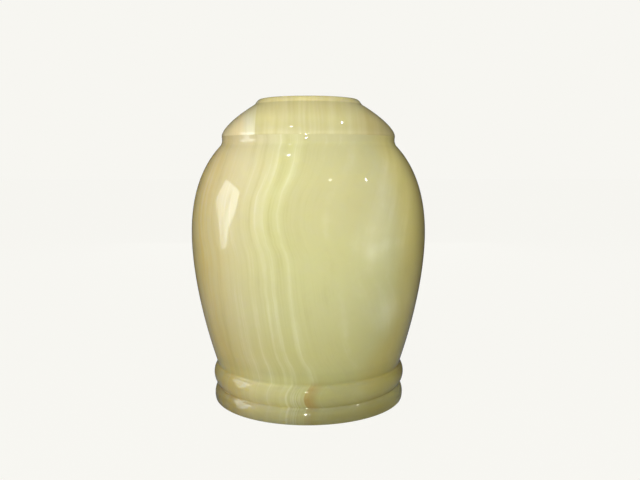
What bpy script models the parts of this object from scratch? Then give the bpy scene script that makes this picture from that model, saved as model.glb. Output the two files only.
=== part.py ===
"""Onyx urn: a turned stone vessel with a domed lid that lifts off.

Metres, +Z up. The origin is the centre of the underside, on the axis of turning.
Both pieces are solids of revolution. A profile is a list of (radius, height) points.
"""

import math

import bpy
import numpy as np

SIDES = 56  # flats around the axis

# Foot ring and bead, from the ground up
WAIST_RADIUS = 0.0707
FOOT_OVERHANG = 0.0022
FOOT_EDGE = 0.0005
RING_HEIGHT = 0.0116
RING_BULGE = 0.0013
GROOVE_CUT = 0.0004
BEAD_HEIGHT = 0.0162
BEAD_BULGE = 0.0032

# Belly and shoulder. A lean is the way out for each unit up, and a pull is the share of
# the rise over which the wall keeps near that lean.
BELLY_RADIUS = 0.0890
BELLY_RISE = 0.0988
BELLY_LEAN = 0.328
BELLY_LOW_PULL = 0.325
BELLY_HIGH_PULL = 0.298
SHOULDER_RISE = 0.0676
SHOULDER_LEAN = -1.0
SHOULDER_LOW_PULL = 0.325
SHOULDER_HIGH_PULL = 0.277

# Collar, which the lid continues
COLLAR_RADIUS = 0.0655
COLLAR_HEIGHT = 0.0057
COLLAR_HOLLOW = 0.00025
JOINT_EDGE = 0.0003

# Inside of the vessel
WALL = 0.010
RIM_WALL = 0.0105
MOUTH_EDGE = 0.0010
FLOOR_THICKNESS = 0.014
FLOOR_FILLET = 0.010

# Lid
SEAT_GAP = 0.0003
DOME_RISE = 0.0238
DOME_LOW_PULL = 0.245
DOME_HIGH_PULL = 0.329
DOME_TOP_LEAN = -1.674
LIP_RADIUS = 0.0403
LIP_HEIGHT = 0.0039
LIP_SET_IN = 0.0037
LIP_BULGE = 0.0005
CROWN_THICKNESS = 0.011
SPIGOT_CLEARANCE = 0.0008
SPIGOT_DEPTH = 0.008
SPIGOT_WALL = 0.007
SPIGOT_EDGE = 0.0010

# Look of the two stones
BODY_COLOUR = (0.61, 0.58, 0.28)
LID_COLOUR = (0.67, 0.63, 0.35)
POLISH_ROUGHNESS = 0.12
CREASE_ANGLE = math.radians(28)

# Heights of the joints between stretches
GROOVE_Z = RING_HEIGHT
WAIST_Z = GROOVE_Z + BEAD_HEIGHT
BELLY_Z = WAIST_Z + BELLY_RISE
NECK_Z = BELLY_Z + SHOULDER_RISE
RIM_Z = NECK_Z + COLLAR_HEIGHT
SEAT_Z = RIM_Z + SEAT_GAP
DOME_TOP_Z = SEAT_Z + DOME_RISE
TOP_Z = DOME_TOP_Z + LIP_HEIGHT

MOUTH_RADIUS = COLLAR_RADIUS - RIM_WALL
SPIGOT_RADIUS = MOUTH_RADIUS - SPIGOT_CLEARANCE

QUARTER_BULGE = math.tan(math.pi / 8) / 2  # rise of a quarter circle over its chord


def arc(start, end, bulge, steps):
    """Points along the circle from start to end whose middle stands out by bulge, to the right of the way."""
    start, end = np.array(start), np.array(end)
    length = math.dist(start, end)
    if abs(bulge) < 1e-9:
        return np.linspace(start, end, steps + 1)
    along = (end - start) / length
    right = np.array([along[1], -along[0]])
    sweep = 4 * math.atan(2 * bulge / length)
    radius = length / (2 * math.sin(sweep / 2))
    centre = (start + end) / 2 - right * radius * math.cos(sweep / 2)
    turn = np.linspace(-sweep / 2, sweep / 2, steps + 1)
    return centre + radius * (np.outer(np.cos(turn), right) + np.outer(np.sin(turn), along))


def rounded(start, end, steps=2):
    """A quarter round from start to end, on the right of the way."""
    return arc(start, end, QUARTER_BULGE * math.dist(start, end), steps)


def swell(start, start_lean, start_pull, end, end_lean, end_pull, steps):
    """A smooth stretch up from start to end that leaves and arrives at the given leans."""
    start, end = np.array(start), np.array(end)
    rise = end[1] - start[1]
    low_handle = start + rise * start_pull * np.array([start_lean, 1.0])
    high_handle = end - rise * end_pull * np.array([end_lean, 1.0])
    t = np.linspace(0.0, 1.0, steps + 1)[:, None]
    s = 1.0 - t
    return s**3 * start + 3 * s * s * t * low_handle + 3 * s * t * t * high_handle + t**3 * end


def inset(points, distance):
    """The stretch moved inwards by a wall of even thickness. The points go up."""
    along = np.gradient(points, axis=0)
    along /= np.linalg.norm(along, axis=1)[:, None]
    return points + distance * np.stack([-along[:, 1], along[:, 0]], axis=1)


def chain(*stretches):
    """One profile from stretches that meet, with each shared point kept once."""
    points = []
    for stretch in stretches:
        for radius, height in np.atleast_2d(stretch):
            if not points or math.dist(points[-1], (radius, height)) > 1e-7:
                points.append((float(radius), float(height)))
    return points


def belly(low_steps, high_steps):
    """The belly and shoulder's outer side, from the waist up to the neck."""
    waist = (WAIST_RADIUS, WAIST_Z)
    widest = (BELLY_RADIUS, BELLY_Z)
    neck = (COLLAR_RADIUS, NECK_Z)
    low = swell(waist, BELLY_LEAN, BELLY_LOW_PULL, widest, 0.0, BELLY_HIGH_PULL, low_steps)
    high = swell(widest, 0.0, SHOULDER_LOW_PULL, neck, SHOULDER_LEAN, SHOULDER_HIGH_PULL, high_steps)
    return np.concatenate([low, high[1:]])


def body_outside():
    """The vessel's outer side, from the ground up to its rim."""
    foot_radius = WAIST_RADIUS + FOOT_OVERHANG
    foot_side = (foot_radius, FOOT_EDGE)
    groove = (WAIST_RADIUS - GROOVE_CUT, GROOVE_Z)
    waist = (WAIST_RADIUS, WAIST_Z)
    neck = (COLLAR_RADIUS, NECK_Z)
    collar_top = (COLLAR_RADIUS, RIM_Z - JOINT_EDGE)
    return chain(
        rounded((foot_radius - FOOT_EDGE, 0.0), foot_side),
        arc(foot_side, groove, RING_BULGE, 4),
        arc(groove, waist, BEAD_BULGE, 7),
        belly(11, 9),
        arc(neck, collar_top, -COLLAR_HOLLOW, 2),
        rounded(collar_top, (COLLAR_RADIUS - JOINT_EDGE, RIM_Z)),
    )


def body_inside():
    """The chamber, from the middle of its floor up through the mouth to the rim."""
    wall = inset(belly(7, 6), WALL)
    fillet_top = FLOOR_THICKNESS + FLOOR_FILLET
    foot = np.interp(fillet_top, wall[:, 1], wall[:, 0])
    above_fillet = wall[:, 1] > fillet_top
    outside_mouth = (wall[:, 0] > MOUTH_RADIUS) | (wall[:, 1] < BELLY_Z)
    wall = wall[above_fillet & outside_mouth]
    shoulder_radius, shoulder_z = wall[-1]
    bore_z = shoulder_z + (MOUTH_RADIUS - shoulder_radius) / SHOULDER_LEAN
    return chain(
        (0.0, FLOOR_THICKNESS),
        rounded((foot - FLOOR_FILLET, FLOOR_THICKNESS), (foot, fillet_top), 4),
        wall,
        (MOUTH_RADIUS, bore_z),
        rounded((MOUTH_RADIUS + MOUTH_EDGE, RIM_Z), (MOUTH_RADIUS, RIM_Z - MOUTH_EDGE))[::-1],
    )


def lid_outside():
    """The lid's outer side, from its seat up to the middle of its flat top."""
    dome_foot = (COLLAR_RADIUS, SEAT_Z + JOINT_EDGE)
    dome_top = (LIP_RADIUS, DOME_TOP_Z)
    return chain(
        rounded((COLLAR_RADIUS - JOINT_EDGE, SEAT_Z), dome_foot),
        swell(dome_foot, 0.0, DOME_LOW_PULL, dome_top, DOME_TOP_LEAN, DOME_HIGH_PULL, 9),
        arc(dome_top, (LIP_RADIUS - LIP_SET_IN, TOP_Z), LIP_BULGE, 3),
        (0.0, TOP_Z),
    )


def lid_underside():
    """The lid's seat, spigot and hollow, from the seat inwards to the axis."""
    spigot_z = SEAT_Z - SPIGOT_DEPTH
    hollow_radius = SPIGOT_RADIUS - SPIGOT_WALL
    hollow_rise = TOP_Z - CROWN_THICKNESS - SEAT_Z
    turn = np.linspace(0.0, math.pi / 2, 7)
    bowl = np.stack([hollow_radius * np.cos(turn), SEAT_Z + hollow_rise * np.sin(turn)], axis=1)
    bowl[-1, 0] = 0.0
    return chain(
        (SPIGOT_RADIUS, SEAT_Z),
        (SPIGOT_RADIUS, spigot_z + SPIGOT_EDGE),
        (SPIGOT_RADIUS - SPIGOT_EDGE, spigot_z),
        (hollow_radius, spigot_z),
        bowl,
    )


def polished_stone(name, colour):
    """A smooth, polished stone of one plain colour."""
    material = bpy.data.materials.new(name)
    material.use_nodes = True
    shader = material.node_tree.nodes["Principled BSDF"]
    shader.inputs["Base Color"].default_value = (*colour, 1.0)
    shader.inputs["Roughness"].default_value = POLISH_ROUGHNESS
    shader.inputs["Metallic"].default_value = 0.0
    return material


def turned(name, profile, material, collection):
    """The solid of revolution of a profile that starts and ends on the axis and runs down its outer side."""
    mesh = bpy.data.meshes.new(name)
    points = [(radius, 0.0, height) for radius, height in profile]
    edges = [(i, i + 1) for i in range(len(points) - 1)]
    mesh.from_pydata(points, edges, [])
    piece = bpy.data.objects.new(name, mesh)
    collection.objects.link(piece)
    screw = piece.modifiers.new("turn", "SCREW")
    screw.steps = SIDES
    screw.render_steps = SIDES
    screw.use_merge_vertices = True
    screw.merge_threshold = 0.00001
    graph = bpy.context.evaluated_depsgraph_get()
    piece.data = bpy.data.meshes.new_from_object(piece.evaluated_get(graph))
    piece.modifiers.clear()
    bpy.data.meshes.remove(mesh)
    piece.data.name = name
    piece.data.materials.append(material)
    piece.data.shade_smooth()
    piece.data.set_sharp_from_angle(angle=CREASE_ANGLE)
    return piece


def main():
    for thing in list(bpy.data.objects):
        bpy.data.objects.remove(thing, do_unlink=True)
    urn = bpy.data.collections.new("onyx_urn")
    bpy.context.scene.collection.children.link(urn)
    body_profile = chain(body_inside(), body_outside()[::-1], (0.0, 0.0))
    lid_profile = chain(lid_outside()[::-1], lid_underside())
    turned("urn_body", body_profile, polished_stone("body_onyx", BODY_COLOUR), urn)
    turned("lid", lid_profile, polished_stone("lid_onyx", LID_COLOUR), urn)


main()
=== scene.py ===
"""Onyx urn with a domed lid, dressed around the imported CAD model. Metres, +Z up."""
import math

import bpy
import numpy as np
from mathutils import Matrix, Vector

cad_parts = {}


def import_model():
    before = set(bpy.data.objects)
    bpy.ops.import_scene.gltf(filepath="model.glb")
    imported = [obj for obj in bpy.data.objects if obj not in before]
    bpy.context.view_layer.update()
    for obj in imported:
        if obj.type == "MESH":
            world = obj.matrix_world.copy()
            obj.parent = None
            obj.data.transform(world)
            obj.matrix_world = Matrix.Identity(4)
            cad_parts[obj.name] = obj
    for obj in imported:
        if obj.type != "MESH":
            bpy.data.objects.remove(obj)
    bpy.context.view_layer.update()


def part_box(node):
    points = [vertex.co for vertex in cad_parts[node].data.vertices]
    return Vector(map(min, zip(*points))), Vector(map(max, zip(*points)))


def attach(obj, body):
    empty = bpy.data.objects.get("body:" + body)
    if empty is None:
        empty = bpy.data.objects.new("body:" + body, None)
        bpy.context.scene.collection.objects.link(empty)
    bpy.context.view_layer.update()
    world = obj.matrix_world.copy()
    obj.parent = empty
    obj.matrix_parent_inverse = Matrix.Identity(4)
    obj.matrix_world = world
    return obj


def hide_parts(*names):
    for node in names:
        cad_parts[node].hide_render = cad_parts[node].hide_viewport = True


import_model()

# Camera, at the photograph's viewing angle
CAMERA_PLACE = (0.0, -0.5496, 0.1832)
CAMERA_TILT = math.radians(6.458)
CAMERA_TURN = math.radians(0.915)
CLIP_START = 0.01
FOCAL_PIXELS = 714.25
FRAME_PIXELS = 640
SENSOR = 36.0

# Sizes that repeat the CAD source, outside
WAIST_RADIUS = 0.0707
FOOT_OVERHANG = 0.0022
FOOT_EDGE = 0.0005
RING_HEIGHT = 0.0116
RING_BULGE = 0.0013
GROOVE_CUT = 0.0004
BEAD_HEIGHT = 0.0162
BEAD_BULGE = 0.0032
BELLY_RISE = 0.0988
BELLY_LEAN = 0.328
BELLY_LOW_PULL = 0.325
BELLY_HIGH_PULL = 0.298
SHOULDER_RISE = 0.0676
SHOULDER_LEAN = -1.0
SHOULDER_LOW_PULL = 0.325
SHOULDER_HIGH_PULL = 0.277
COLLAR_HOLLOW = 0.00025
DOME_LOW_PULL = 0.245
DOME_HIGH_PULL = 0.329
DOME_TOP_LEAN = -1.674
LIP_RADIUS = 0.0403
LIP_HEIGHT = 0.0039
LIP_SET_IN = 0.0037
LIP_BULGE = 0.0005

# Sizes that repeat the CAD source, inside
WALL = 0.010
RIM_WALL = 0.0105
MOUTH_EDGE = 0.0010
FLOOR_THICKNESS = 0.014
FLOOR_FILLET = 0.010
CROWN_THICKNESS = 0.011
SPIGOT_CLEARANCE = 0.0008
SPIGOT_WALL = 0.007
SPIGOT_EDGE = 0.0010

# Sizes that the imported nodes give
BODY_LOW, BODY_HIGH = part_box("urn_body")
LID_LOW, LID_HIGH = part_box("lid")
BELLY_RADIUS = BODY_HIGH.x
COLLAR_RADIUS = LID_HIGH.x
RIM_Z = BODY_HIGH.z
TOP_Z = LID_HIGH.z
SPIGOT_Z = LID_LOW.z

DOME_TOP_Z = TOP_Z - LIP_HEIGHT
WAIST_Z = RING_HEIGHT + BEAD_HEIGHT
BELLY_Z = WAIST_Z + BELLY_RISE
NECK_Z = BELLY_Z + SHOULDER_RISE
MOUTH_RADIUS = COLLAR_RADIUS - RIM_WALL
SPIGOT_RADIUS = MOUTH_RADIUS - SPIGOT_CLEARANCE

# The lid rests close on the rim, with a fine edge at the joint
SEAT_GAP = 0.00001
JOINT_EDGE = 0.00004
SEAT_Z = RIM_Z + SEAT_GAP

# How far the polish has worn each crease back, along the profile
RING_BEAD_SOFT = 0.0009
BEAD_BELLY_SOFT = 0.0012
NECK_SOFT = 0.0024
DOME_LIP_SOFT = 0.0010
LIP_TOP_SOFT = 0.0008

# Steps along each stretch of the profiles, and round the urn
EDGE_STEPS = 5
WORN_STEPS = 6
RING_STEPS = 16
BEAD_STEPS = 24
BELLY_STEPS = (56, 44)
COLLAR_STEPS = 8
DOME_STEPS = 48
LIP_STEPS = 12
TOP_STEPS = 11
CHAMBER_STEPS = (24, 18)
FILLET_STEPS = 8
HOLLOW_STEPS = 16
SIDES = 256

# Distances below which points count as one, and the angle above which an edge stays sharp
SAME_POINT = 1e-7
SHORT_STEP = 1e-6
SAME_ON_AXIS = 5e-6
SHARP_ANGLE = math.radians(35)

QUARTER_BULGE = math.tan(math.pi / 8) / 2
MM = 1000.0


# Shapes

def arc(start, end, bulge, steps):
    """Points along the circle from start to end whose middle stands out by bulge, to the right of the way."""
    start, end = np.array(start), np.array(end)
    length = math.dist(start, end)
    along = (end - start) / length
    right = np.array([along[1], -along[0]])
    sweep = 4 * math.atan(2 * bulge / length)
    radius = length / (2 * math.sin(sweep / 2))
    centre = (start + end) / 2 - right * radius * math.cos(sweep / 2)
    turn = np.linspace(-sweep / 2, sweep / 2, steps + 1)
    return centre + radius * (np.outer(np.cos(turn), right) + np.outer(np.sin(turn), along))


def rounded(start, end, steps=EDGE_STEPS):
    """A quarter round from start to end, on the right of the way."""
    return arc(start, end, QUARTER_BULGE * math.dist(start, end), steps)


def swell(start, start_lean, start_pull, end, end_lean, end_pull, steps):
    """A smooth stretch up from start to end that leaves and arrives at the given leans."""
    start, end = np.array(start), np.array(end)
    rise = end[1] - start[1]
    low_handle = start + rise * start_pull * np.array([start_lean, 1.0])
    high_handle = end - rise * end_pull * np.array([end_lean, 1.0])
    t = np.linspace(0.0, 1.0, steps + 1)[:, None]
    s = 1.0 - t
    return s**3 * start + 3 * s * s * t * low_handle + 3 * s * t * t * high_handle + t**3 * end


def inset(points, distance):
    """The stretch moved inwards by a wall of even thickness. The points go up."""
    along = np.gradient(points, axis=0)
    along /= np.linalg.norm(along, axis=1)[:, None]
    return points + distance * np.stack([-along[:, 1], along[:, 0]], axis=1)


def chain(*stretches):
    """One profile from stretches that meet, with each shared point kept once."""
    points = []
    for stretch in stretches:
        for radius, height in np.atleast_2d(stretch):
            if not points or math.dist(points[-1], (radius, height)) > SAME_POINT:
                points.append((float(radius), float(height)))
    return points


def shortened(points, reach):
    """The stretch without its last reach of length."""
    gaps = np.linalg.norm(np.diff(points, axis=0), axis=1)
    way = np.concatenate([[0.0], np.cumsum(gaps)])
    stop = way[-1] - reach
    end = [np.interp(stop, way, points[:, k]) for k in (0, 1)]
    return np.concatenate([points[way < stop - SHORT_STEP], [end]])


def worn(first, second, reach):
    """Two stretches that meet in a crease, with the crease worn to a small curve."""
    corner = first[-1]
    before = shortened(first, reach)
    after = shortened(second[::-1], reach)[::-1]
    t = np.linspace(0.0, 1.0, WORN_STEPS + 1)[:, None]
    s = 1.0 - t
    bend = s * s * before[-1] + 2 * s * t * corner + t * t * after[0]
    return np.array(chain(before, bend, after))


def belly(low_steps, high_steps):
    """The belly and shoulder's outer side, from the waist up to the neck."""
    waist = (WAIST_RADIUS, WAIST_Z)
    widest = (BELLY_RADIUS, BELLY_Z)
    neck = (COLLAR_RADIUS, NECK_Z)
    low = swell(waist, BELLY_LEAN, BELLY_LOW_PULL, widest, 0.0, BELLY_HIGH_PULL, low_steps)
    high = swell(widest, 0.0, SHOULDER_LOW_PULL, neck, SHOULDER_LEAN, SHOULDER_HIGH_PULL, high_steps)
    return np.concatenate([low, high[1:]])


def body_outside():
    """The vessel's outer side, from the ground up to its rim."""
    foot_radius = WAIST_RADIUS + FOOT_OVERHANG
    foot_side = (foot_radius, FOOT_EDGE)
    groove = (WAIST_RADIUS - GROOVE_CUT, RING_HEIGHT)
    waist = (WAIST_RADIUS, WAIST_Z)
    neck = (COLLAR_RADIUS, NECK_Z)
    collar_top = (COLLAR_RADIUS, RIM_Z - JOINT_EDGE)
    ring = arc(foot_side, groove, RING_BULGE, RING_STEPS)
    bead = arc(groove, waist, BEAD_BULGE, BEAD_STEPS)
    collar = arc(neck, collar_top, -COLLAR_HOLLOW, COLLAR_STEPS)
    side = worn(ring, bead, RING_BEAD_SOFT)
    side = worn(side, belly(*BELLY_STEPS), BEAD_BELLY_SOFT)
    side = worn(side, collar, NECK_SOFT)
    return chain(
        rounded((foot_radius - FOOT_EDGE, 0.0), foot_side),
        side,
        rounded(collar_top, (COLLAR_RADIUS - JOINT_EDGE, RIM_Z)),
    )


def body_inside():
    """The chamber, from the middle of its floor up through the mouth to the rim."""
    wall = inset(belly(*CHAMBER_STEPS), WALL)
    fillet_top = FLOOR_THICKNESS + FLOOR_FILLET
    foot = np.interp(fillet_top, wall[:, 1], wall[:, 0])
    above_fillet = wall[:, 1] > fillet_top
    outside_mouth = (wall[:, 0] > MOUTH_RADIUS) | (wall[:, 1] < BELLY_Z)
    wall = wall[above_fillet & outside_mouth]
    shoulder_radius, shoulder_z = wall[-1]
    bore_z = shoulder_z + (MOUTH_RADIUS - shoulder_radius) / SHOULDER_LEAN
    return chain(
        (0.0, FLOOR_THICKNESS),
        rounded((foot - FLOOR_FILLET, FLOOR_THICKNESS), (foot, fillet_top), FILLET_STEPS),
        wall,
        (MOUTH_RADIUS, bore_z),
        rounded((MOUTH_RADIUS + MOUTH_EDGE, RIM_Z), (MOUTH_RADIUS, RIM_Z - MOUTH_EDGE))[::-1],
    )


def lid_outside():
    """The lid's outer side, from its seat up to the middle of its flat top."""
    dome_foot = (COLLAR_RADIUS, SEAT_Z + JOINT_EDGE)
    dome_top = (LIP_RADIUS, DOME_TOP_Z)
    lip_top = (LIP_RADIUS - LIP_SET_IN, TOP_Z)
    dome = swell(dome_foot, 0.0, DOME_LOW_PULL, dome_top, DOME_TOP_LEAN, DOME_HIGH_PULL, DOME_STEPS)
    side = worn(dome, arc(dome_top, lip_top, LIP_BULGE, LIP_STEPS), DOME_LIP_SOFT)
    top = np.linspace(lip_top, (0.0, TOP_Z), TOP_STEPS + 1)
    return chain(
        rounded((COLLAR_RADIUS - JOINT_EDGE, SEAT_Z), dome_foot),
        worn(side, top, LIP_TOP_SOFT),
    )


def lid_underside():
    """The lid's seat, spigot and hollow, from the seat inwards to the axis."""
    hollow_radius = SPIGOT_RADIUS - SPIGOT_WALL
    hollow_rise = TOP_Z - CROWN_THICKNESS - SEAT_Z
    turn = np.linspace(0.0, math.pi / 2, HOLLOW_STEPS + 1)
    hollow = np.stack([hollow_radius * np.cos(turn), SEAT_Z + hollow_rise * np.sin(turn)], axis=1)
    hollow[-1, 0] = 0.0
    return chain(
        (SPIGOT_RADIUS, SEAT_Z),
        (SPIGOT_RADIUS, SPIGOT_Z + SPIGOT_EDGE),
        (SPIGOT_RADIUS - SPIGOT_EDGE, SPIGOT_Z),
        (hollow_radius, SPIGOT_Z),
        hollow,
    )


def turned(name, profile, material):
    """The solid of revolution of a profile that starts and ends on the axis and runs down its outer side."""
    mesh = bpy.data.meshes.new(name)
    points = [(radius, 0.0, height) for radius, height in profile]
    mesh.from_pydata(points, [(i, i + 1) for i in range(len(points) - 1)], [])
    piece = bpy.data.objects.new(name, mesh)
    bpy.context.scene.collection.objects.link(piece)
    screw = piece.modifiers.new("turn", "SCREW")
    screw.steps = SIDES
    screw.render_steps = SIDES
    screw.use_merge_vertices = True
    screw.merge_threshold = SAME_ON_AXIS
    graph = bpy.context.evaluated_depsgraph_get()
    piece.data = bpy.data.meshes.new_from_object(piece.evaluated_get(graph))
    piece.modifiers.clear()
    bpy.data.meshes.remove(mesh)
    piece.data.name = name
    piece.data.materials.append(material)
    piece.data.shade_smooth()
    piece.data.set_sharp_from_angle(angle=SHARP_ANGLE)
    return piece


# Stone

class Recipe:
    """Makes the nodes of one material. Values may be numbers or the outputs of other nodes."""

    def __init__(self, name):
        self.material = bpy.data.materials.new(name)
        self.material.use_nodes = True
        self.tree = self.material.node_tree
        self.shader = self.tree.nodes["Principled BSDF"]

    def give(self, socket, value):
        if isinstance(value, bpy.types.NodeSocket):
            self.tree.links.new(value, socket)
        else:
            socket.default_value = value

    def node(self, kind, inputs=(), **settings):
        made = self.tree.nodes.new(kind)
        for key, value in settings.items():
            setattr(made, key, value)
        for key, value in dict(inputs).items():
            self.give(made.inputs[key], value)
        return made

    def maths(self, operation, *values):
        made = self.node("ShaderNodeMath", operation=operation)
        for socket, value in zip(made.inputs, values):
            self.give(socket, value)
        return made.outputs[0]

    def add(self, total, *values):
        for value in values:
            total = self.maths("ADD", total, value)
        return total

    def times(self, product, *values):
        for value in values:
            product = self.maths("MULTIPLY", product, value)
        return product

    def ramp(self, value, low, high, to_low=0.0, to_high=1.0):
        """Value mapped smoothly from low..high to to_low..to_high."""
        made = self.node("ShaderNodeMapRange", interpolation_type="SMOOTHSTEP")
        for socket, given in zip(made.inputs, (value, low, high, to_low, to_high)):
            self.give(socket, given)
        return made.outputs[0]

    def away(self, value, centre):
        """How far the value is from the centre."""
        return self.maths("ABSOLUTE", self.add(value, -centre))

    def bump(self, value, centre, half_width):
        """One at the centre, falling smoothly to nothing at half_width to either side."""
        return self.ramp(self.away(value, centre), 0.0, half_width, 1.0, 0.0)

    def swing(self, value, most):
        """A value from 0 to 1, made to swing about nothing."""
        return self.times(self.add(value, -0.5), most)

    def curve(self, value, points):
        made = self.node("ShaderNodeFloatCurve", {"Value": value})
        line = made.mapping.curves[0]
        line.points[0].location = points[0]
        line.points[-1].location = points[-1]
        for place in points[1:-1]:
            line.points.new(*place)
        made.mapping.update()
        return made.outputs[0]

    def place(self):
        """Where a point is on its piece, in mm: x, y and z."""
        coordinates = self.node("ShaderNodeTexCoord").outputs["Object"]
        split = self.node("ShaderNodeSeparateXYZ", {"Vector": coordinates})
        return [self.times(split.outputs[k], MM) for k in range(3)]

    def noise(self, directions, kind):
        """Noise from 0 to 1. A kind has a scale per mm in each of the directions, a detail and a roughness."""
        scales, detail, roughness = kind
        scaled = {axis: self.times(given, scale) for axis, given, scale in zip("XYZ", directions, scales)}
        vector = self.node("ShaderNodeCombineXYZ", scaled).outputs[0]
        inputs = {"Vector": vector, "Scale": 1.0, "Detail": detail, "Roughness": roughness}
        return self.node("ShaderNodeTexNoise", inputs).outputs[0]

    def mixed(self, amount, first, second, blend="MIX"):
        made = self.node("ShaderNodeMix", data_type="RGBA", blend_type=blend)
        self.give(made.inputs[0], amount)
        for socket, colour in ((made.inputs[6], first), (made.inputs[7], second)):
            self.give(socket, (*colour, 1.0) if isinstance(colour, tuple) else colour)
        return made.outputs[2]

    def zone(self, fields, limits):
        """The product of the limits. Each names a field, and mostly the ramp that it goes through."""
        parts = [self.ramp(fields[name], *ramp) if ramp else fields[name] for name, *ramp in limits]
        return self.times(*parts)

    def layered(self, colour, fields, layers):
        """The colour under some layers, where paint covers it and a tint multiplies it, each in its zone."""
        for kind, shade, limits in layers:
            over = shade if kind == "paint" else self.mixed(1.0, colour, shade, blend="MULTIPLY")
            colour = self.mixed(self.zone(fields, limits), colour, over)
        return colour


# The polish, translucency and faint relief that both stones share
IOR = 1.5
ROUGHNESS = (0.2, 0.8, 0.06, 0.10)
SCATTER = (1.0, 0.85, 0.35)
SCATTER_REACH = 0.004
FOOT_SCATTER_REACH = 0.035
RELIEF_STRENGTH = 0.05
RELIEF_DISTANCE = 0.0002

# How much light scatters in the stone: by distance from the joint, and by height at the solid foot
SCATTER_FROM_JOINT = (1.5, 7.0, 0.0, 0.6)
SCATTER_AT_FOOT = (60.0, 30.0)


def finish_stone(r, colour, patches, grain, z):
    """The shader's own values, with the stone's colour, patches and grain."""
    r.give(r.shader.inputs["Base Color"], colour)
    r.give(r.shader.inputs["Roughness"], r.ramp(patches, *ROUGHNESS))
    r.shader.inputs["IOR"].default_value = IOR
    near_joint = r.ramp(r.away(z, RIM_Z * MM), *SCATTER_FROM_JOINT)
    at_foot = r.ramp(z, *SCATTER_AT_FOOT)
    r.give(r.shader.inputs["Subsurface Weight"], r.maths("MAXIMUM", near_joint, at_foot))
    r.shader.inputs["Subsurface Radius"].default_value = SCATTER
    foot_low, foot_high = reversed(SCATTER_AT_FOOT)
    reach = r.ramp(z, foot_low, foot_high, FOOT_SCATTER_REACH, SCATTER_REACH)
    r.give(r.shader.inputs["Subsurface Scale"], reach)
    relief = {"Strength": RELIEF_STRENGTH, "Distance": RELIEF_DISTANCE, "Height": grain}
    r.give(r.shader.inputs["Normal"], r.node("ShaderNodeBump", relief).outputs[0])


# Directions across and along the body's sheets, seen from above
SHEET_ACROSS = (0.7305, -0.683)
SHEET_ALONG = (0.683, 0.7305)

# Noises of the body: scales across the sheets, along them and up, then detail and roughness
SLOW = ((0.012, 0.012, 0.022), 2.0, 0.5)
QUICK = ((0.05, 0.05, 0.12), 2.0, 0.5)
FINE = ((0.45, 0.012, 0.012), 3.0, 0.6)
LINES = ((1.15, 0.02, 0.015), 1.0, 0.5)
BROAD = ((0.09, 0.006, 0.006), 2.0, 0.5)
CLOUD = ((0.05, 0.045, 0.04), 5.0, 0.65)
BREAKS = ((0.1, 0.03, 0.03), 2.0, 0.5)
STREAKS = ((0.22, 0.01, 0.012), 3.0, 0.65)

# The same for the curtain-like folds on the right, across the folds instead of along the sheets
FOLDS = ((0.08, 0.02, 0.008), 3.0, 0.55)

# How far the slow and quick noises push the sheets, in mm
SLOW_PUSH = 3.0
QUICK_PUSH = 1.0

# Sideways drift of the sheets: height over 240 mm, drift over 16 mm
PATH_SPAN = 240.0
DRIFT_MOST = 16.0
DRIFT = ((0.0, 0.60), (0.075, 0.63), (0.125, 0.74), (0.155, 0.76), (0.20, 0.65), (0.25, 0.63),
         (0.375, 0.656), (0.467, 0.69), (0.542, 0.44), (0.633, 0.28), (0.725, 0.375), (0.825, 0.0),
         (1.0, 0.0))

# Where the folds run along the sheets: height over 240 mm, and from 40 mm one way to 40 mm the other
CURTAIN_HALF = 40.0
CURTAIN = ((0.0, 0.5), (0.125, 0.5), (0.25, 0.45), (0.325, 0.375), (0.375, 0.30), (0.475, 0.165),
           (0.525, 0.16), (0.608, 0.25), (0.65, 0.315), (0.717, 0.42), (0.783, 0.58), (0.825, 0.65),
           (1.0, 0.65))

# Veins: place across the sheets in mm, half width in mm, and strength, pale above zero and deep below
VEINS = ((-60.0, 6.0, 0.5), (-30.0, 9.0, 0.6), (-14.0, 4.0, -0.5), (-5.0, 3.0, 0.4), (0.0, 3.0, 0.5),
         (5.5, 3.0, 0.5), (10.5, 3.6, -0.6), (15.0, 3.0, 0.4), (20.0, 3.6, -0.8), (24.4, 2.6, 0.9),
         (29.2, 2.8, 1.1), (34.3, 4.4, -1.0), (38.4, 2.2, 1.0), (40.4, 2.2, 0.6), (46.0, 4.0, -0.3))
VEIN_CONTRAST = 0.42
VEIN_WIDENING = (85.0, 145.0, 1.0, 1.35)
VEIN_STRENGTH = (("breaks", 0.3, 0.6, 0.6, 1.0), ("z", 22.0, 40.0, 0.45, 1.0), ("z", 100.0, 145.0, 1.0, 1.3))

# A vein with its own path: height over 240 mm and 10 mm across. It fades up the belly
LONE_VEIN = (61.3, 3.0, 0.9)
LONE_MOST = 10.0
LONE_PATH = ((0.0, 0.14), (0.125, 0.10), (0.19, 0.20), (0.23, 0.30), (0.31, 0.50), (0.40, 0.60),
             (0.50, 0.62), (1.0, 0.62))
LONE_FADE = (100.0, 140.0, 1.0, 0.45)

# Milky patches: centre and half sizes in mm, and strength
PATCHES = (((42.0, -77.0, 121.0), 8.0, 7.0, 0.6), ((58.0, -67.0, 126.0), 14.0, 5.0, 0.5),
           ((54.0, -62.0, 78.0), 16.0, 15.0, 0.8), ((37.0, -63.0, 20.0), 8.0, 4.0, 0.4))
PATCH_CONTRAST = 0.8
PATCH_RAGGED = 2.4
PATCH_EDGE = 1.5

# How strongly each noise shows, by place across the sheets: edge on at the left, face on at the right
GRAIN = (("fine", 66.0, 50.0), ("lines", 66.0, 50.0, 0.0, 0.5), ("broad", 66.0, 50.0, 0.0, 0.9),
         ("folds", 46.0, 70.0, 0.0, 0.9), ("cloud", 30.0, 66.0, 0.7, 1.2))

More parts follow.
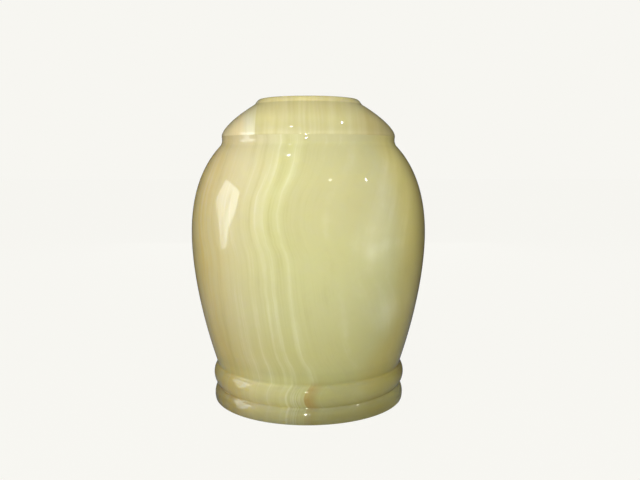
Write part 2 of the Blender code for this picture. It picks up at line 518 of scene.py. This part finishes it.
# The seam across the foot, half of it a step and half a slow change, with a pale rim and pale hairlines by it
SEAM = 28.6
SEAM_STEP = (SEAM - 0.6, SEAM + 0.6, 0.0, 0.5)
SEAM_SLOPE = (37.0, 42.0, 0.0, 0.5)
SEAM_RIM_MIDDLE = SEAM - 1.2
SEAM_RIM = (("from_rim", 1.5, 0.0), ("z", 34.0, 20.0, 0.0, 0.8))
HAIRS_MIDDLE = 33.5
HAIRS = (("lines", 0.42, 0.58), ("from_hairs", 5.5, 0.0), ("z", 30.0, 20.0))

# How much painted shade the foot takes at each height, less in the creases where light gathers: height over 40 mm
FOOT_SHADE_SPAN = 40.0
FOOT_SHADE_CURVE = ((0.0, 0.95), (0.125, 0.92), (0.2, 0.76), (0.275, 0.48), (0.325, 0.06), (0.40, 0.16),
         (0.525, 0.38), (0.625, 0.32), (0.70, 0.0), (1.0, 0.0))

# The middle of the painted light at the waist crease, which the bead would light from below
WAIST_LIGHT_MIDDLE = WAIST_Z * MM + 3.0

# Low on the belly, the tan left and the golden right reach further in
LOW = (70.0, 30.0)
LEFT_REACH = -10.0
RIGHT_REACH = 16.0

BODY_GREEN = (0.60, 0.585, 0.29)
BODY_CREAM = (0.67, 0.61, 0.33)
CREAM_TO_THE_LEFT = (42.0, -10.0)

UPPER = ("z", 105.0, 160.0)
GOLD_FADES = (("z", 16.0, 30.0, 0.55, 1.0), ("y", 5.0, 55.0, 1.0, 0.25))

BODY_LAYERS = (
    # The upper belly, creamier at the left and darker and greener at the right: partly the stone's tone, partly a
    # painted sheen at the left and painted shade at the right under the light from above
    ("tint", (1.02, 1.0, 1.10), (UPPER, ("sheet", 40.0, 20.0))),
    ("tint", (0.915, 0.89, 0.93), (UPPER, ("sheet", 32.0, 48.0))),
    # Tan down the left
    ("paint", (0.72, 0.56, 0.19), (("left", 6.0, -38.0), ("streaks", 0.40, 0.60, 0.44, 0.80))),
    # Gold and then olive down the right, the olive deepened by painted shade on the side away from the light
    ("paint", (0.62, 0.55, 0.20), (*GOLD_FADES, ("right", -16.0, 12.0))),
    ("paint", (0.44, 0.365, 0.115), (*GOLD_FADES, ("along", 8.0, 44.0))),
    # A pale band in the upper folds
    ("tint", (1.10, 1.11, 1.22), (("curtain", -20.0, 0.0), ("curtain", 52.0, 22.0), ("z", 100.0, 130.0),
                                  ("sheet", 46.0, 70.0), ("folds", 0.3, 0.65, 0.35, 1.0))),
    # The collar
    ("tint", (0.97, 0.96, 0.98), (("z", NECK_Z * MM, NECK_Z * MM + 2.0),)),
    # The deep and the pale of the grain and veins
    ("tint", (0.84, 0.82, 0.73), (("tone", 0.0, -1.0),)),
    ("tint", (1.17, 1.19, 1.46), (("tone", 0.0, 1.0),)),
    # The foot past the seam
    ("tint", (0.77, 0.76, 0.71), (("seam",), ("z", 40.0, 26.0))),
    # The rust spot
    ("paint", (0.43, 0.29, 0.085), (("sheet", 37.6, 38.4), ("sheet", 46.0, 39.4), ("z", 32.0, 23.0),
                                    ("z", 8.0, 16.0, 0.25, 1.0), ("y", -20.0, -50.0),
                                    ("cloud", 0.35, 0.55, 0.48, 0.80))),
    # Painted shade on the foot: darker towards the ground, where less light comes back through the solid stone
    # than through the hollow walls
    ("tint", (0.58, 0.565, 0.54), (("solid",),)),
    # Warmth above the foot
    ("tint", (0.97, 0.955, 0.86), (("z", 85.0, 48.0), ("z", 22.0, 30.0, 0.35, 1.0))),
    # Painted light in the waist crease
    ("tint", (1.09, 1.09, 1.07), (("from_waist", 6.0, 0.0),)),
    # The ring at the right, lighter and bluer; and painted shade on the foot at the left, toning down the light
    # from that side
    ("tint", (1.28, 1.36, 1.60), (("along", -12.0, 30.0), ("z", 14.0, 9.0))),
    ("tint", (0.79, 0.80, 0.86), (("sheet", 5.0, -50.0), ("z", 34.0, 22.0))),
)


def body_veins(r, fields):
    """The veins' strength, pale above zero and deep below."""
    widening = r.ramp(fields["z"], *VEIN_WIDENING)
    place, half, strength = LONE_VEIN
    path = r.swing(r.curve(fields["height"], LONE_PATH), LONE_MOST)
    lone = r.bump(r.maths("SUBTRACT", fields["sheet"], path), place, half)
    total = r.times(lone, r.ramp(fields["z"], *LONE_FADE), VEIN_CONTRAST * strength)
    for place, half, strength in VEINS:
        vein = r.bump(fields["sheet"], place, r.times(widening, half))
        total = r.add(total, r.times(vein, VEIN_CONTRAST * strength))
    return r.times(total, r.zone(fields, VEIN_STRENGTH))


def body_patches(r, fields):
    """The milky patches' strength, ragged at their edges."""
    ragged = r.swing(fields["cloud"], PATCH_RAGGED)
    total = 0.0
    for centre, wide, high, strength in PATCHES:
        x, y, z = (r.maths("POWER", r.add(fields[axis], -middle), 2.0) for axis, middle in zip("xyz", centre))
        away = r.maths("SQRT", r.add(r.times(r.add(x, y), wide**-2), r.times(z, high**-2)))
        total = r.add(total, r.ramp(r.add(away, ragged), PATCH_EDGE, 0.0, 0.0, PATCH_CONTRAST * strength))
    return total


def body_onyx():
    """Green-cream onyx in nearly upright sheets, tan along one side."""
    r = Recipe("body_onyx")
    x, y, z = r.place()
    across = r.add(r.times(x, SHEET_ACROSS[0]), r.times(y, SHEET_ACROSS[1]))
    along = r.add(r.times(x, SHEET_ALONG[0]), r.times(y, SHEET_ALONG[1]))
    height = r.times(z, 1 / PATH_SPAN)
    drift = r.times(r.curve(height, DRIFT), DRIFT_MOST)
    slow, quick = (r.noise((across, along, z), kind) for kind in (SLOW, QUICK))
    wobble = r.add(r.swing(slow, SLOW_PUSH), r.swing(quick, QUICK_PUSH))
    sheet = r.add(r.maths("SUBTRACT", across, drift), wobble)
    curtain = r.add(along, CURTAIN_HALF, r.times(r.curve(height, CURTAIN), -2 * CURTAIN_HALF))
    low = r.ramp(z, *LOW)

    fields = {"x": x, "y": y, "z": z, "sheet": sheet, "along": along, "height": height, "curtain": curtain}
    kinds = {"fine": FINE, "lines": LINES, "broad": BROAD, "cloud": CLOUD, "breaks": BREAKS, "streaks": STREAKS}
    for name, kind in kinds.items():
        fields[name] = r.noise((sheet, along, z), kind)
    fields["folds"] = r.noise((curtain, sheet, z), FOLDS)
    fields["left"] = r.add(sheet, r.times(low, LEFT_REACH))
    fields["right"] = r.add(along, r.times(low, RIGHT_REACH))
    fields["seam"] = r.add(r.ramp(sheet, *SEAM_STEP), r.ramp(sheet, *SEAM_SLOPE))
    fields["from_rim"] = r.away(sheet, SEAM_RIM_MIDDLE)
    fields["from_hairs"] = r.away(sheet, HAIRS_MIDDLE)
    fields["from_waist"] = r.away(z, WAIST_LIGHT_MIDDLE)
    fields["solid"] = r.curve(r.maths("MINIMUM", r.times(z, 1 / FOOT_SHADE_SPAN), 1.0), FOOT_SHADE_CURVE)
    grain = [r.swing(fields[name], r.ramp(sheet, *ramp)) for name, *ramp in GRAIN]
    marks = (r.zone(fields, HAIRS), r.zone(fields, SEAM_RIM), body_veins(r, fields), body_patches(r, fields))
    fields["tone"] = r.add(*grain, *marks)

    colour = r.mixed(r.ramp(sheet, *CREAM_TO_THE_LEFT), BODY_GREEN, BODY_CREAM)
    colour = r.layered(colour, fields, BODY_LAYERS)
    finish_stone(r, colour, fields["cloud"], fields["fine"], z)
    return r.material


# Noises of the lid: scales across its sheets, along them and up, then detail and roughness
LID_SLOW = ((0.02, 0.02, 0.03), 2.0, 0.5)
LID_QUICK = ((0.06, 0.07, 0.1), 2.0, 0.5)
LID_FINE = ((0.6, 0.012, 0.012), 3.0, 0.6)
LID_BROAD = ((0.12, 0.008, 0.008), 2.0, 0.5)
LID_SLOW_PUSH = 4.0
LID_QUICK_PUSH = 1.2

# Fine pale veins of the lid: places across its sheets, half width and strength
LID_VEINS = (-15.0, -11.4, -6.0, -2.7, 0.7, 4.0, 6.5, 9.0)
LID_VEIN_HALF = 1.5
LID_VEIN_STRENGTH = 0.10

LID_DEEP = (0.60, 0.55, 0.26)
LID_BASE = (0.66, 0.62, 0.33)
LID_PALE = (0.82, 0.79, 0.55)
DEEP_TO_BASE = (0.3, 0.7)
# The middle of the painted highlight along the dome's foot
LID_HIGHLIGHT_MIDDLE = SEAT_Z * MM + 1.2

# The lid is golden towards its top and its right
GOLDEN_TOP = (210.0, 222.0, 0.0, 0.45)
GOLDEN_RIGHT = (24.0, 50.0)

LID_LAYERS = (
    ("paint", LID_PALE, (("fine", 0.42, 0.75, 0.0, 0.10),)),
    ("paint", LID_PALE, (("veins",),)),
    ("tint", (0.87, 0.87, 0.89), (("z", 213.0, 203.0),)),
    ("tint", (1.10, 1.08, 1.06), (("x", -8.0, -30.0),)),
    # A painted highlight along the dome's foot, just above the joint
    ("tint", (1.04, 1.04, 1.05), (("from_rim", 1.8, 0.0),)),
    ("tint", (0.95, 0.875, 0.76), (("golden",),)),
)

# Milky stone beyond a clean edge at the left, peach further out
MILK_EDGE = -37.0
MILK = (0.84, 0.80, 0.57)
MILK_ZONE = (("x", MILK_EDGE + 0.7, MILK_EDGE - 0.7), ("z", 221.0, 209.0, 0.40, 0.85))
MILK_LAYERS = (
    ("paint", (0.87, 0.72, 0.41), (("sheet", MILK_EDGE - 4.0, MILK_EDGE - 12.0),)),
    ("paint", LID_BASE, (("fine", 0.35, 0.65, 0.0, 0.4),)),
)


def lid_onyx():
    """Paler onyx, cut with its sheets edge on to the front."""
    r = Recipe("lid_onyx")
    x, y, z = r.place()
    slow, quick = (r.noise((x, y, z), kind) for kind in (LID_SLOW, LID_QUICK))
    sheet = r.add(x, r.add(r.swing(slow, LID_SLOW_PUSH), r.swing(quick, LID_QUICK_PUSH)))
    fine, broad = (r.noise((sheet, y, z), kind) for kind in (LID_FINE, LID_BROAD))
    veins = 0.0
    for place in LID_VEINS:
        veins = r.maths("MAXIMUM", veins, r.bump(sheet, place, LID_VEIN_HALF))
    fields = {"x": x, "z": z, "sheet": sheet, "fine": fine}
    fields["veins"] = r.times(veins, LID_VEIN_STRENGTH)
    fields["from_rim"] = r.away(z, LID_HIGHLIGHT_MIDDLE)
    fields["golden"] = r.maths("MAXIMUM", r.ramp(z, *GOLDEN_TOP), r.ramp(x, *GOLDEN_RIGHT))

    colour = r.mixed(r.ramp(broad, *DEEP_TO_BASE), LID_DEEP, LID_BASE)
    colour = r.layered(colour, fields, LID_LAYERS)
    milky = r.layered(MILK, fields, MILK_LAYERS)
    colour = r.mixed(r.zone(fields, MILK_ZONE), colour, milky)
    finish_stone(r, colour, broad, fine, z)
    return r.material


# Stage and light

BACKGROUND = (0.930, 0.922, 0.880)
DAYLIGHT = (0.88, 0.94, 1.0)
AIM = np.array([0.0, 0.0, 0.12])

# The studio as the stone's matt side meets it, and as its polish shows it, level or up and well below
FILL = (0.18, 0.178, 0.15)
GLOSS = (0.03, 0.036, 0.056)
GLOSS_BELOW = (0.14, 0.155, 0.20)
BELOW = (-0.16, -0.34, 0.0, 1.0)

# A pale floor, mostly by its own glow, so that it takes only a faint shadow
FLOOR_HALF = 6.0
FLOOR_GREY = 0.012
FLOOR_GLOW = 0.99

# Soft light from the front, fitted as panels that the polish doesn't show: azimuth, elevation and watts
KEYS = ((-30.0, 30.0, 1.26), (0.0, 30.0, 0.94), (30.0, 30.0, 0.63), (-35.0, 4.0, 1.20), (34.0, 6.0, 0.95))
KEY_DISTANCE = 0.62
KEY_SIZE = 0.34

# Soft light from behind: name, elevation and watts
BACKS = (("back", 35.0, 4.0), ("back_low", 4.0, 6.0))
BACK_DISTANCE = 1.0
BACK_SIZE = 0.8

# What shows in the polish. A tall window at the left and a strip before it: azimuth, elevation and strength
WINDOW = ((-91.0, -9.0, 3.8), (-83.0, -8.0, 3.8), (-80.0, 1.3, 4.8), (-74.5, 8.3, 4.2), (-73.4, 15.6, 4.6),
          (-75.7, 23.4, 5.2), (-100.4, 25.5, 3.8), (-104.0, 11.0, 1.6), (-97.0, 5.5, 2.6), (-93.0, 0.6, 3.6))
WINDOW_DISTANCE = 5.0
STRIP = ((-91.5, -9.0, 2.2), (-88.0, -9.0, 2.2), (-83.0, 21.0, 2.2), (-86.5, 22.0, 2.2))
STRIP_DISTANCE = 4.9

# Small round lamps: azimuth, elevation, diameter and glow
SPOTS = ((-44.0, 68.0, 0.19, 60.0), (105.0, 65.5, 0.18, 80.0), (25.5, 41.0, 0.15, 36.0), (68.0, 34.5, 0.15, 60.0))
SPOT_DISTANCE = 5.0

# A flash beside the lens, as two narrow beams: name, aim and half angle
FLASH_PLACE = np.array(CAMERA_PLACE) + (-0.026, 0.0, 0.004)
FLASH_SIZE = 0.03
FLASH_GLOW = 160.0
BEAMS = (("flash_collar", (0.0, -0.066, 0.195), math.radians(3.0)),
         ("flash_foot", (0.0, -0.072, 0.013), math.radians(4.0)))


def towards(azimuth, elevation, distance):
    """A place at that azimuth from the front, elevation and distance from the middle of the urn."""
    a, e = math.radians(azimuth), math.radians(elevation)
    return AIM + distance * np.array([math.cos(e) * math.sin(a), -math.cos(e) * math.cos(a), math.sin(e)])


def lamp(name, place, size, power, aim=AIM, shape="SQUARE", glossy=True, diffuse=True):
    """An area lamp that faces the middle of the urn, or another aim. It isn't seen itself."""
    data = bpy.data.lights.new(name, "AREA")
    data.shape = shape
    data.size = size
    data.energy = power
    made = bpy.data.objects.new(name, data)
    bpy.context.scene.collection.objects.link(made)
    made.location = place
    made.rotation_mode = "QUATERNION"
    made.rotation_quaternion = Vector(aim - place).to_track_quat("-Z", "Y")
    made.visible_glossy = glossy
    made.visible_diffuse = diffuse
    made.visible_camera = False
    return made


def soft_light():
    """The light that falls on the stone and that its polish doesn't show."""
    for number, (azimuth, elevation, power) in enumerate(KEYS):
        lamp(f"key_{number}", towards(azimuth, elevation, KEY_DISTANCE), KEY_SIZE, power, glossy=False)
    for name, elevation, power in BACKS:
        lamp(name, towards(180.0, elevation, BACK_DISTANCE), BACK_SIZE, power, glossy=False)


def glints():
    """The small lamps and the flash, which only the polish shows."""
    for number, (azimuth, elevation, size, glow) in enumerate(SPOTS):
        power = math.pi * (math.pi * size * size / 4) * glow
        place = towards(azimuth, elevation, SPOT_DISTANCE)
        lamp(f"lamp_{number}", place, size, power, shape="DISK", diffuse=False)
    for name, aim, half_angle in BEAMS:
        power = math.pi * FLASH_SIZE * FLASH_SIZE * FLASH_GLOW * half_angle**2 / 3
        beam = lamp(name, FLASH_PLACE, FLASH_SIZE, power, aim=np.array(aim), diffuse=False)
        beam.data.spread = 2 * half_angle


def softbox(name, distance, corners):
    """A glowing panel, seen only in the polish. Each corner has an azimuth, an elevation and a strength."""
    mesh = bpy.data.meshes.new(name)
    places = [tuple(towards(azimuth, elevation, distance)) for azimuth, elevation, strength in corners]
    mesh.from_pydata(places, [], [tuple(range(len(places)))])
    panel = bpy.data.objects.new(name, mesh)
    bpy.context.scene.collection.objects.link(panel)
    shown = mesh.color_attributes.new("glow", "FLOAT_COLOR", "POINT")
    for point, (azimuth, elevation, strength) in zip(shown.data, corners):
        point.color = (strength, strength, strength, 1.0)
    material = bpy.data.materials.new(name)
    material.use_nodes = True
    tree = material.node_tree
    tree.nodes.clear()
    glow = tree.nodes.new("ShaderNodeAttribute")
    glow.attribute_name = "glow"
    light = tree.nodes.new("ShaderNodeEmission")
    light.inputs["Color"].default_value = (*DAYLIGHT, 1.0)
    tree.links.new(glow.outputs["Fac"], light.inputs["Strength"])
    out = tree.nodes.new("ShaderNodeOutputMaterial")
    tree.links.new(light.outputs[0], out.inputs[0])
    mesh.materials.append(material)
    panel.visible_camera = False
    panel.visible_diffuse = False
    panel.visible_shadow = False


def world():
    """Pale to the camera, a soft even fill to the stone, and dim in its reflections, less so from below."""
    made = bpy.data.worlds.new("studio")
    bpy.context.scene.world = made
    made.use_nodes = True
    tree = made.node_tree
    tree.nodes.clear()

    def plain(colour):
        shade = tree.nodes.new("ShaderNodeBackground")
        shade.inputs[0].default_value = (*colour, 1.0)
        return shade.outputs[0]

    def mixed(amount, first, second):
        mix = tree.nodes.new("ShaderNodeMixShader")
        for socket, given in zip(mix.inputs, (amount, first, second)):
            tree.links.new(given, socket)
        return mix.outputs[0]

    path = tree.nodes.new("ShaderNodeLightPath")
    place = tree.nodes.new("ShaderNodeTexCoord")
    split = tree.nodes.new("ShaderNodeSeparateXYZ")
    tree.links.new(place.outputs["Generated"], split.inputs[0])
    below = tree.nodes.new("ShaderNodeMapRange")
    below.interpolation_type = "SMOOTHSTEP"
    tree.links.new(split.outputs[2], below.inputs[0])
    for socket, value in zip(below.inputs[1:5], BELOW):
        socket.default_value = value
    polish = mixed(below.outputs[0], plain(GLOSS), plain(GLOSS_BELOW))
    unseen = mixed(path.outputs["Is Glossy Ray"], plain(FILL), polish)
    whole = mixed(path.outputs["Is Camera Ray"], unseen, plain(BACKGROUND))
    out = tree.nodes.new("ShaderNodeOutputWorld")
    tree.links.new(whole, out.inputs[0])


def stage_floor():
    """A pale floor that takes a faint shadow and shines no light back up."""
    mesh = bpy.data.meshes.new("floor")
    half = FLOOR_HALF
    mesh.from_pydata([(-half, -half, 0), (half, -half, 0), (half, half, 0), (-half, half, 0)], [], [(0, 1, 2, 3)])
    floor = bpy.data.objects.new("floor", mesh)
    bpy.context.scene.collection.objects.link(floor)
    material = bpy.data.materials.new("pale_floor")
    material.use_nodes = True
    shader = material.node_tree.nodes["Principled BSDF"]
    shader.inputs["Base Color"].default_value = (FLOOR_GREY, FLOOR_GREY, FLOOR_GREY, 1.0)
    shader.inputs["Roughness"].default_value = 1.0
    shader.inputs["Specular IOR Level"].default_value = 0.0
    shader.inputs["Emission Color"].default_value = (*BACKGROUND, 1.0)
    shader.inputs["Emission Strength"].default_value = FLOOR_GLOW
    mesh.materials.append(material)
    floor.visible_diffuse = False
    floor.visible_glossy = False


def camera():
    data = bpy.data.cameras.new("camera")
    data.sensor_width = SENSOR
    data.lens = FOCAL_PIXELS / FRAME_PIXELS * SENSOR
    data.clip_start = CLIP_START
    made = bpy.data.objects.new("camera", data)
    bpy.context.scene.collection.objects.link(made)
    made.location = CAMERA_PLACE
    made.rotation_euler = (math.pi / 2 - CAMERA_TILT, 0.0, -CAMERA_TURN)
    bpy.context.scene.camera = made


camera()

body = turned("onyx_body", chain(body_inside(), body_outside()[::-1], (0.0, 0.0)), body_onyx())
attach(body, "root")
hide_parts("urn_body")

lid = turned("onyx_lid", chain(lid_outside()[::-1], lid_underside()), lid_onyx())
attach(lid, "root")
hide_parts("lid")

stage_floor()
world()
soft_light()
softbox("window", WINDOW_DISTANCE, WINDOW)
softbox("window_strip", STRIP_DISTANCE, STRIP)
glints()

bpy.context.scene.view_settings.view_transform = "Standard"
